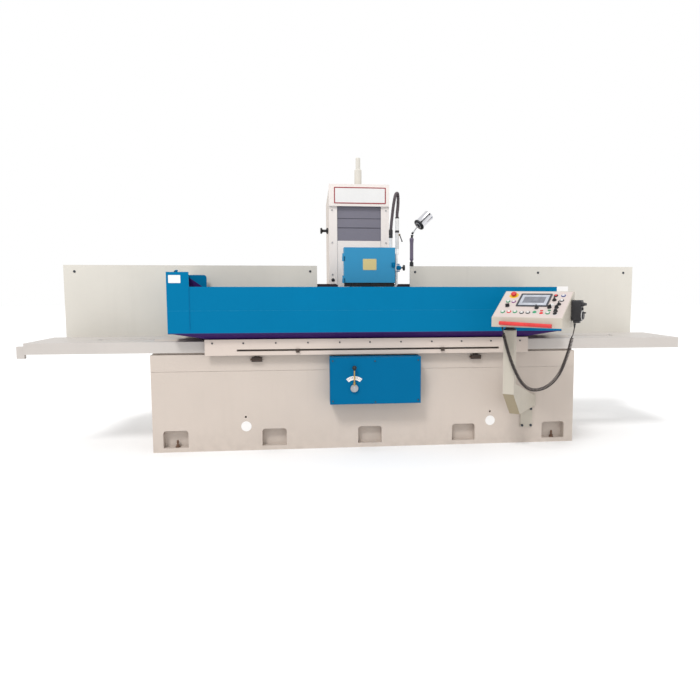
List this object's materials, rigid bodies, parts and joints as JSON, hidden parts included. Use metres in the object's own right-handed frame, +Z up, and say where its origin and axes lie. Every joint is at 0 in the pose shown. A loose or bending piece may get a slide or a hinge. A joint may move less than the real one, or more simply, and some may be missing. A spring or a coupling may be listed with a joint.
{
  "type": "surface grinder",
  "caption": "Column-type surface grinder with a long hydraulic table, magnetic chuck, lifting wheelhead, splash guards, coolant trays, lamp and operator pendant.",
  "frame": {"origin": "on the floor under the middle of the table, on the underside of the bed", "axes": "+X along the table to the right of the operator, +Y from the operator towards the column, +Z up"},
  "size_m": [4.864, 3.9581, 2.3423],
  "materials": {
    "cream": "smooth enamel, satin",
    "blue": "smooth enamel, semi-gloss",
    "guard_blue": "smooth enamel, semi-gloss",
    "pan_paint": "dark enamel",
    "iron": "ground ways",
    "chuck_steel": "ground",
    "steel": "turned",
    "chrome": "polished",
    "shutter": "dull grey",
    "motor": "dark enamel",
    "bellows": "matt",
    "hose": "matt",
    "cord": "matt",
    "black_plastic": "moulded",
    "red_plastic": "moulded",
    "green_plastic": "moulded",
    "abrasive": "bonded grit"
  },
  "bodies": {
    "bed": {"bed": "cream", "cross_bed": "cream", "tray_left": "cream", "tray_right": "cream", "rear_panel_left": "cream", "rear_panel_right": "cream", "control_box": "blue", "table_cylinder": "steel", "pendant_post": "cream", "limit_switch_left": "black_plastic", "limit_switch_right": "black_plastic", "lamp_base": "black_plastic", "cross_feed_motor": "motor", "bellows_left": "bellows", "bellows_right": "bellows"},
    "cross_screw": {"cross_feed_screw": "steel"},
    "table": {"table": "iron", "magnetic_chuck": "chuck_steel", "table_apron": "cream", "splash_pan": "pan_paint", "guard_lower": "blue", "guard_upper": "blue", "guard_corner": "blue", "guard_rear": "blue", "piston_rod": "chrome"},
    "dog_left": {"dog_left": "iron"},
    "dog_right": {"dog_right": "iron"},
    "column": {"column_saddle": "cream", "column": "cream", "column_front_cover": "cream", "shutter_upper": "shutter", "screw_cover": "cream"},
    "side_knob": {"side_knob": "black_plastic"},
    "shutter": {"shutter_middle": "shutter"},
    "lift_screw": {"elevation_screw": "steel"},
    "wheelhead": {"wheelhead": "guard_blue", "head_plate": "cream", "spindle_motor": "motor", "wheel_guard": "guard_blue", "coolant_pipe": "steel", "coolant_hose": "hose"},
    "guard_door": {"guard_door": "guard_blue"},
    "spindle": {"spindle": "steel", "grinding_wheel": "abrasive", "wheel_flange": "steel"},
    "valve_knob": {"valve_knob": "black_plastic"},
    "valve_lever": {"valve_lever": "black_plastic"},
    "lamp_arm": {"lamp_arm": "hose"},
    "lamp_head": {"lamp_head": "chrome"},
    "speed_lever": {"speed_lever": "black_plastic"},
    "pendant": {"pendant_neck": "black_plastic", "pendant_housing": "cream", "pendant_handle": "red_plastic", "handwheel_unit": "black_plastic", "curly_cord": "cord"},
    "mpg_dial": {"mpg_dial": "black_plastic"},
    "estop_button": {"estop_button": "red_plastic"},
    "start_button": {"start_button": "green_plastic"},
    "stop_button": {"stop_button": "red_plastic"},
    "selector_switch": {"selector_switch": "black_plastic"}
  },
  "joints": [
    {"name": "table_traverse", "type": "slide", "parent": "bed", "child": "table", "axis": [1, 0, 0], "range_m": [-0.84, 0.84]},
    {"name": "dog_left_set", "type": "slide", "parent": "table", "child": "dog_left", "axis": [1, 0, 0], "range_m": [-0.4, 0.45]},
    {"name": "dog_right_set", "type": "slide", "parent": "table", "child": "dog_right", "axis": [1, 0, 0], "range_m": [-0.45, 0.4]},
    {"name": "column_feed", "type": "slide", "parent": "bed", "child": "column", "axis": [0, 1, 0], "range_m": [-0.25, 0.3], "deforming": ["bellows_left", "bellows_right"]},
    {"name": "cross_screw_turn", "type": "hinge", "parent": "bed", "child": "cross_screw", "pos_m": [0, 0.5, 0.985], "axis": [0, 1, 0], "range_deg": [-9720, 11160]},
    {"name": "head_lift", "type": "slide", "parent": "column", "child": "wheelhead", "axis": [0, 0, 1], "range_m": [-0.028, 0.26]},
    {"name": "lift_screw_turn", "type": "hinge", "parent": "column", "child": "lift_screw", "pos_m": [0, 0.965, 1.6], "axis": [0, 0, 1], "range_deg": [-1080, 9720]},
    {"name": "shutter_follow", "type": "slide", "parent": "column", "child": "shutter", "axis": [0, 0, 1], "range_m": [-0.015, 0.131]},
    {"name": "side_knob_turn", "type": "hinge", "parent": "column", "child": "side_knob", "pos_m": [-0.262, 1.425, 1.73], "axis": [1, 0, 0], "range_deg": [0, 90]},
    {"name": "guard_door_hinge", "type": "hinge", "parent": "wheelhead", "child": "guard_door", "pos_m": [-0.1885, -0.118, 1.3], "axis": [0, 0, -1], "range_deg": [0, 110]},
    {"name": "spindle_spin", "type": "hinge", "parent": "wheelhead", "child": "spindle", "pos_m": [0, -0.05, 1.29], "axis": [0, 1, 0], "continuous": true},
    {"name": "valve_knob_turn", "type": "hinge", "parent": "wheelhead", "child": "valve_knob", "pos_m": [0.2543, -0.075, 1.332], "axis": [1, 0, 0], "range_deg": [0, 270]},
    {"name": "valve_lever_turn", "type": "hinge", "parent": "wheelhead", "child": "valve_lever", "pos_m": [0.25, 0.025, 1.588], "axis": [1, 0, 0], "range_deg": [0, 90]},
    {"name": "lamp_swivel", "type": "hinge", "parent": "bed", "child": "lamp_arm", "pos_m": [0.417, 0.471, 1.4016], "axis": [0, 0, 1], "range_deg": [-100, 100]},
    {"name": "lamp_tilt", "type": "hinge", "parent": "lamp_arm", "child": "lamp_head", "pos_m": [0.424, 0.471, 1.637], "axis": [0, 1, 0], "range_deg": [-30, 80]},
    {"name": "speed_lever_turn", "type": "hinge", "parent": "bed", "child": "speed_lever", "pos_m": [-0.129, -0.425, 0.468], "axis": [0, 1, 0], "range_deg": [-40, 40]},
    {"name": "pendant_swivel", "type": "hinge", "parent": "bed", "child": "pendant", "pos_m": [0.94467, -0.63667, 0.888], "axis": [0, 0, 1], "range_deg": [-45, 36]},
    {"name": "mpg_dial_spin", "type": "hinge", "parent": "pendant", "child": "mpg_dial", "pos_m": [1.36205, -0.87606, 0.998], "axis": [0.8049, -0.5934, 0], "continuous": true},
    {"name": "estop_press", "type": "slide", "parent": "pendant", "child": "estop_button", "axis": [0.3101, 0.4206, -0.8526], "range_m": [0, 0.004], "stiffness_N_per_m": 400},
    {"name": "start_press", "type": "slide", "parent": "pendant", "child": "start_button", "axis": [0.3101, 0.4206, -0.8526], "range_m": [0, 0.003], "stiffness_N_per_m": 300},
    {"name": "stop_press", "type": "slide", "parent": "pendant", "child": "stop_button", "axis": [0.3101, 0.4206, -0.8526], "range_m": [0, 0.003], "stiffness_N_per_m": 300},
    {"name": "selector_turn", "type": "hinge", "parent": "pendant", "child": "selector_switch", "pos_m": [1.14432, -0.95231, 1.0132], "axis": [-0.3101, -0.4206, 0.8526], "range_deg": [-45, 45]}
  ],
  "couplings": [
    {"joint": "cross_screw_turn", "follows": "column_feed", "rad_per_m": 628.32},
    {"joint": "lift_screw_turn", "follows": "head_lift", "rad_per_m": 628.32},
    {"joint": "shutter_follow", "follows": "head_lift", "ratio": 0.5}
  ]
}
